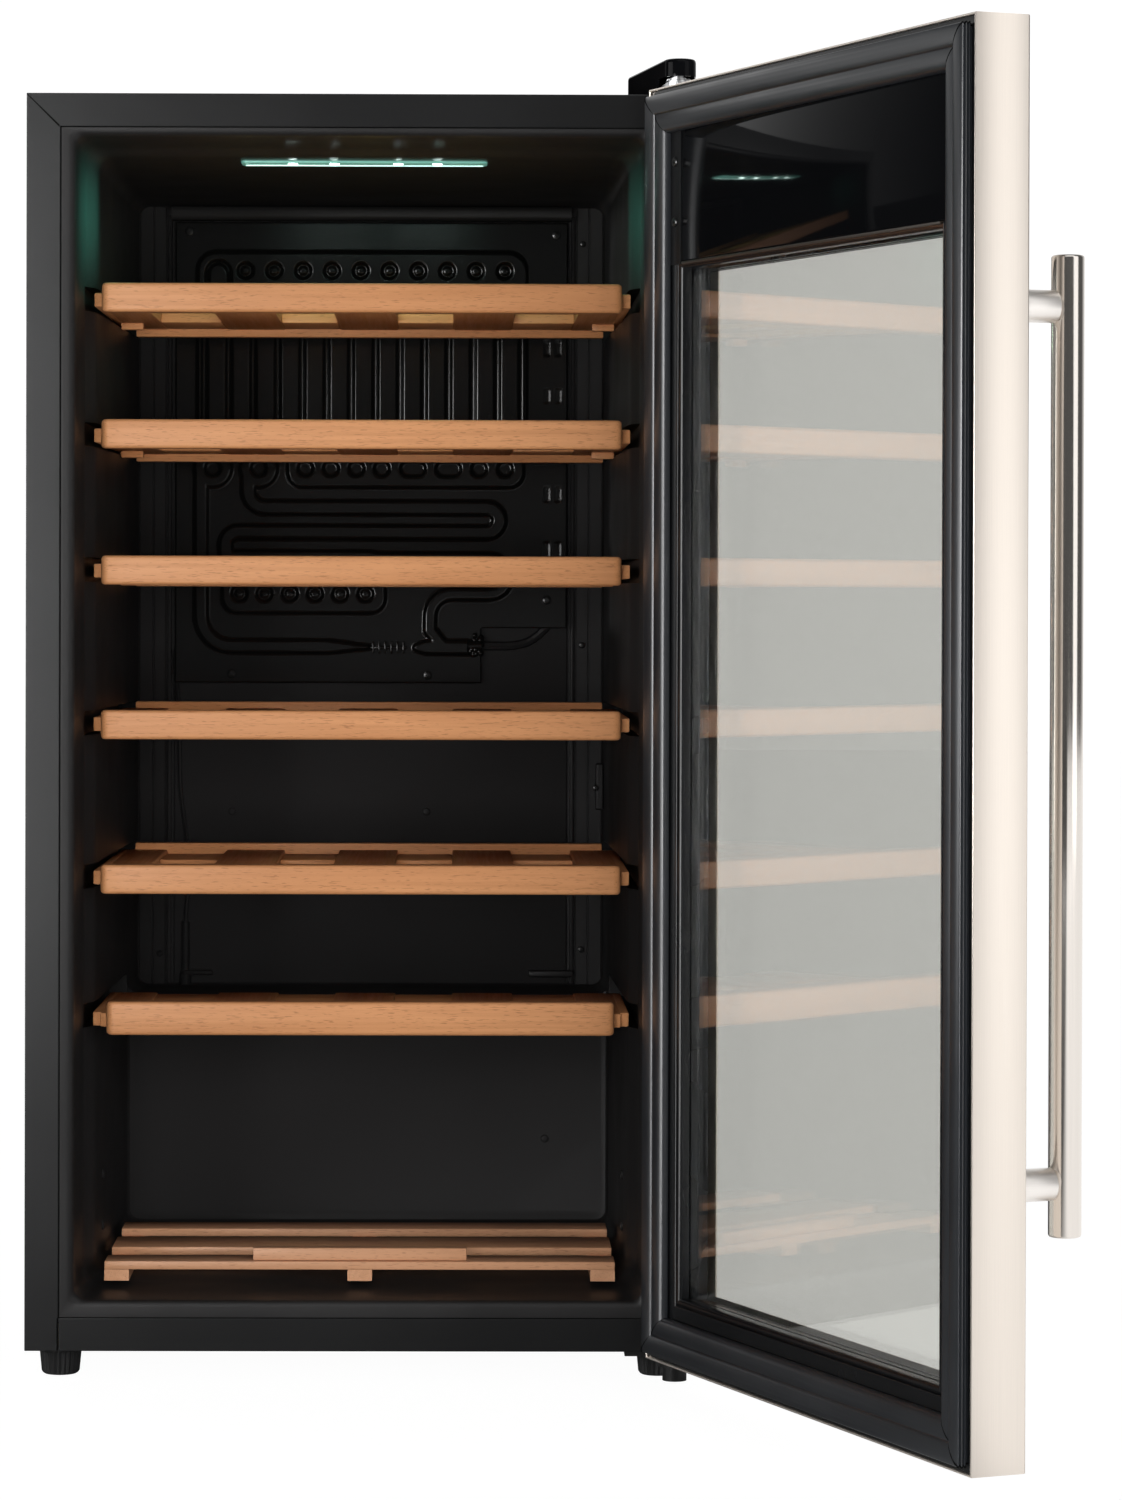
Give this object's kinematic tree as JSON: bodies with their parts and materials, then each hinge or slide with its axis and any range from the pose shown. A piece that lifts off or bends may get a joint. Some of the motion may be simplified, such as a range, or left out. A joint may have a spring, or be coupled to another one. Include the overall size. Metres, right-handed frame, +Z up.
{
  "type": "wine cooler",
  "caption": "Free-standing compressor wine cooler with sliding beech shelves, a floor rack, levelling feet and a hinged double-glazed steel-framed door with a bar handle.",
  "frame": {"origin": "centre of the cabinet's flat underside, 19.5 mm above the surface the feet stand on", "axes": "+Z up, -Y towards the door (front), +Y towards the back, +X to the right as seen from the front; the door hinges are on the right (+X) side"},
  "size_m": [0.632, 0.8521, 0.8495],
  "materials": {
    "shell_paint": "fine textured black powder paint",
    "liner_plastic": "thermoformed, matt",
    "foam": "rigid foam",
    "zinc_steel": "zinc plated",
    "evaporator_coat": "satin coating on aluminium",
    "beech": "fine-sanded solid beech",
    "door_steel": "brushed, warm tint",
    "door_plastic": "moulded, low sheen",
    "gasket_rubber": "soft PVC",
    "door_glass": "clear float glass",
    "panel_gloss": "piano gloss",
    "black_rubber": "matt",
    "lamp_plastic": "translucent",
    "circuit_board": "solder-masked",
    "copper": "drawn copper",
    "black_enamel": "gloss enamel"
  },
  "bodies": {
    "cabinet": {"outer_casing": "shell_paint", "base_front_rail": "shell_paint", "base_pan": "zinc_steel", "back_panel": "zinc_steel", "inner_liner": "liner_plastic", "insulation_foam": "foam", "evaporator_plate": "evaporator_coat", "evaporator_top_trim": "liner_plastic", "corner_trim_left": "liner_plastic", "corner_trim_right": "liner_plastic", "suction_tube": "black_rubber", "sensor_lead": "black_rubber", "lead_gland": "black_rubber", "thermostat_sensor": "liner_plastic", "lamp_lens": "lamp_plastic", "lamp_board": "circuit_board", "compressor": "black_enamel", "drain_tray": "door_plastic", "power_inlet": "door_plastic", "condenser_coil": "black_enamel", "filter_drier": "copper", "hinge_upper_bracket": "zinc_steel", "hinge_upper_cover": "panel_gloss", "hinge_upper_pin": "zinc_steel", "hinge_lower_bracket": "black_enamel", "hinge_lower_pin": "black_enamel"},
    "door": {"door_frame": "door_steel", "door_inner_frame": "door_plastic", "door_gasket": "gasket_rubber", "glass_inner": "door_glass", "glass_outer": "door_glass", "glass_spacer": "zinc_steel", "glass_seal": "black_rubber", "control_cover": "panel_gloss", "control_cover_strip": "door_plastic", "control_board": "circuit_board", "control_window": "panel_gloss", "handle_bar": "door_steel", "handle_post_lower": "door_steel", "handle_post_upper": "door_steel", "door_bush_lower": "lamp_plastic", "door_bush_upper": "lamp_plastic"},
    "shelf_1": {"shelf_1_front": "beech", "shelf_1_frame": "beech"},
    "shelf_2": {"shelf_2_front": "beech", "shelf_2_frame": "beech"},
    "shelf_3": {"shelf_3_front": "beech", "shelf_3_frame": "beech"},
    "shelf_4": {"shelf_4_front": "beech", "shelf_4_frame": "beech"},
    "shelf_5": {"shelf_5_front": "beech", "shelf_5_frame": "beech"},
    "shelf_6": {"shelf_6_front": "beech", "shelf_6_frame": "beech"},
    "floor_rack": {"floor_rack": "beech", "floor_rack_stop": "beech"},
    "foot_front_left": {"foot_front_left": "black_rubber"},
    "foot_front_right": {"foot_front_right": "black_rubber"},
    "foot_rear_left": {"foot_rear_left": "black_rubber"},
    "foot_rear_right": {"foot_rear_right": "black_rubber"}
  },
  "joints": [
    {"name": "door_hinge", "type": "hinge", "parent": "cabinet", "child": "door", "pos_m": [0.2029, -0.2415, 0.4], "axis": [0, 0, 1], "range_deg": [-112.4, 17.6]},
    {"name": "shelf_1_slide", "type": "slide", "parent": "cabinet", "child": "shelf_1", "axis": [0, -1, 0], "range_m": [0, 0.26]},
    {"name": "shelf_2_slide", "type": "slide", "parent": "cabinet", "child": "shelf_2", "axis": [0, -1, 0], "range_m": [0, 0.26]},
    {"name": "shelf_3_slide", "type": "slide", "parent": "cabinet", "child": "shelf_3", "axis": [0, -1, 0], "range_m": [0, 0.26]},
    {"name": "shelf_4_slide", "type": "slide", "parent": "cabinet", "child": "shelf_4", "axis": [0, -1, 0], "range_m": [0, 0.26]},
    {"name": "shelf_5_slide", "type": "slide", "parent": "cabinet", "child": "shelf_5", "axis": [0, -1, 0], "range_m": [0, 0.26]},
    {"name": "shelf_6_slide", "type": "slide", "parent": "cabinet", "child": "shelf_6", "axis": [0, -1, 0], "range_m": [0, 0.15]},
    {"name": "floor_rack_slide", "type": "slide", "parent": "cabinet", "child": "floor_rack", "axis": [0, -1, 0], "range_m": [0, 0.2]},
    {"name": "foot_front_left_screw", "type": "hinge", "parent": "cabinet", "child": "foot_front_left", "pos_m": [-0.1944, -0.1845, 0], "axis": [0, 0, -1], "range_deg": [0, 1440]},
    {"name": "foot_front_right_screw", "type": "hinge", "parent": "cabinet", "child": "foot_front_right", "pos_m": [0.1944, -0.1845, 0], "axis": [0, 0, -1], "range_deg": [0, 1440]},
    {"name": "foot_rear_left_screw", "type": "hinge", "parent": "cabinet", "child": "foot_rear_left", "pos_m": [-0.1944, 0.1845, 0], "axis": [0, 0, -1], "range_deg": [0, 1440]},
    {"name": "foot_rear_right_screw", "type": "hinge", "parent": "cabinet", "child": "foot_rear_right", "pos_m": [0.1944, 0.1845, 0], "axis": [0, 0, -1], "range_deg": [0, 1440]}
  ]
}
